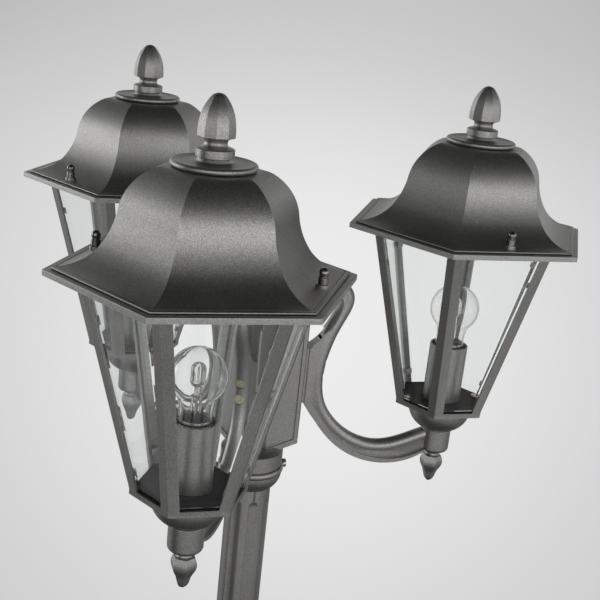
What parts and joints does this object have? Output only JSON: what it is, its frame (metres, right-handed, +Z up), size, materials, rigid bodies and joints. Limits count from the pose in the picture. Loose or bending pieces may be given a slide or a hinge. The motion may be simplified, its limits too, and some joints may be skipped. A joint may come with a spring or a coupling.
{
  "type": "triple head lamp post",
  "caption": "Garden lamp post with hexagonal glazed lanterns on scrolled arms round a fluted post, on a bell-shaped base.",
  "frame": {"origin": "centre of the anchor circle on the base's underside, on the ground", "axes": "+Z up along the post, -Y towards the front lantern"},
  "size_m": [0.5196, 0.5075, 2.2017],
  "materials": {
    "powder_coat": "fine-textured graphite powder coat, semi-matt",
    "floor_paint": "dark satin paint",
    "pane_glass": "clear, bevelled, faint green at the edges",
    "bulb_glass": "clear thin glass",
    "quartz": "clear quartz with copper and steel leads",
    "nickel": "bright screw cap",
    "nut_metal": "dark nickel, glossy dome",
    "stud_steel": "zinc-plated steel",
    "yellow_zinc": "yellow zinc-plated screws",
    "holder_plastic": "cream thermoplastic"
  },
  "bodies": {
    "post": {"arm_front": "powder_coat", "arm_left": "powder_coat", "arm_right": "powder_coat", "arm_screws": "yellow_zinc", "base": "powder_coat", "cage_front": "powder_coat", "cage_left": "powder_coat", "cage_right": "powder_coat", "coupling": "powder_coat", "cup_front": "powder_coat", "cup_left": "powder_coat", "cup_right": "powder_coat", "drop_finial_front": "powder_coat", "drop_finial_left": "powder_coat", "drop_finial_right": "powder_coat", "floor_plate_front": "floor_paint", "floor_plate_left": "floor_paint", "floor_plate_right": "floor_paint", "floor_screws": "yellow_zinc", "glass_clips": "stud_steel", "glass_panes_front": "pane_glass", "glass_panes_left": "pane_glass", "glass_panes_right": "pane_glass", "head": "powder_coat", "head_lid": "powder_coat", "lampholder_front": "holder_plastic", "lampholder_left": "holder_plastic", "lampholder_right": "holder_plastic", "lid_screw": "nut_metal", "lower_tube": "powder_coat", "nipple_nuts": "stud_steel", "nipples": "stud_steel", "roof_studs": "stud_steel", "set_screws": "yellow_zinc", "sleeve_front": "powder_coat", "sleeve_left": "powder_coat", "sleeve_right": "powder_coat", "terminal_block": "holder_plastic", "upper_tube": "powder_coat"},
    "roof_front_body": {"roof_front": "powder_coat", "roof_disc_front": "powder_coat", "roof_nuts_front": "nut_metal", "finial_front": "powder_coat"},
    "bulb_front_body": {"bulb_glass_front": "bulb_glass", "bulb_cap_front": "nickel", "bulb_capsule_front": "quartz"},
    "roof_right_body": {"roof_right": "powder_coat", "roof_disc_right": "powder_coat", "roof_nuts_right": "nut_metal", "finial_right": "powder_coat"},
    "bulb_right_body": {"bulb_glass_right": "bulb_glass", "bulb_cap_right": "nickel", "bulb_capsule_right": "quartz"},
    "roof_left_body": {"roof_left": "powder_coat", "roof_disc_left": "powder_coat", "roof_nuts_left": "nut_metal", "finial_left": "powder_coat"},
    "bulb_left_body": {"bulb_glass_left": "bulb_glass", "bulb_cap_left": "nickel", "bulb_capsule_left": "quartz"}
  },
  "joints": [
    {"name": "roof_lift_front", "type": "slide", "parent": "post", "child": "roof_front_body", "axis": [0, 0, 1], "range_m": [0, 0.15]},
    {"name": "bulb_pull_front", "type": "slide", "parent": "post", "child": "bulb_front_body", "axis": [0, 0, 1], "range_m": [0, 0.03]},
    {"name": "roof_lift_right", "type": "slide", "parent": "post", "child": "roof_right_body", "axis": [0, 0, 1], "range_m": [0, 0.15]},
    {"name": "bulb_pull_right", "type": "slide", "parent": "post", "child": "bulb_right_body", "axis": [0, 0, 1], "range_m": [0, 0.03]},
    {"name": "roof_lift_left", "type": "slide", "parent": "post", "child": "roof_left_body", "axis": [0, 0, 1], "range_m": [0, 0.15]},
    {"name": "bulb_pull_left", "type": "slide", "parent": "post", "child": "bulb_left_body", "axis": [0, 0, 1], "range_m": [0, 0.03]}
  ]
}
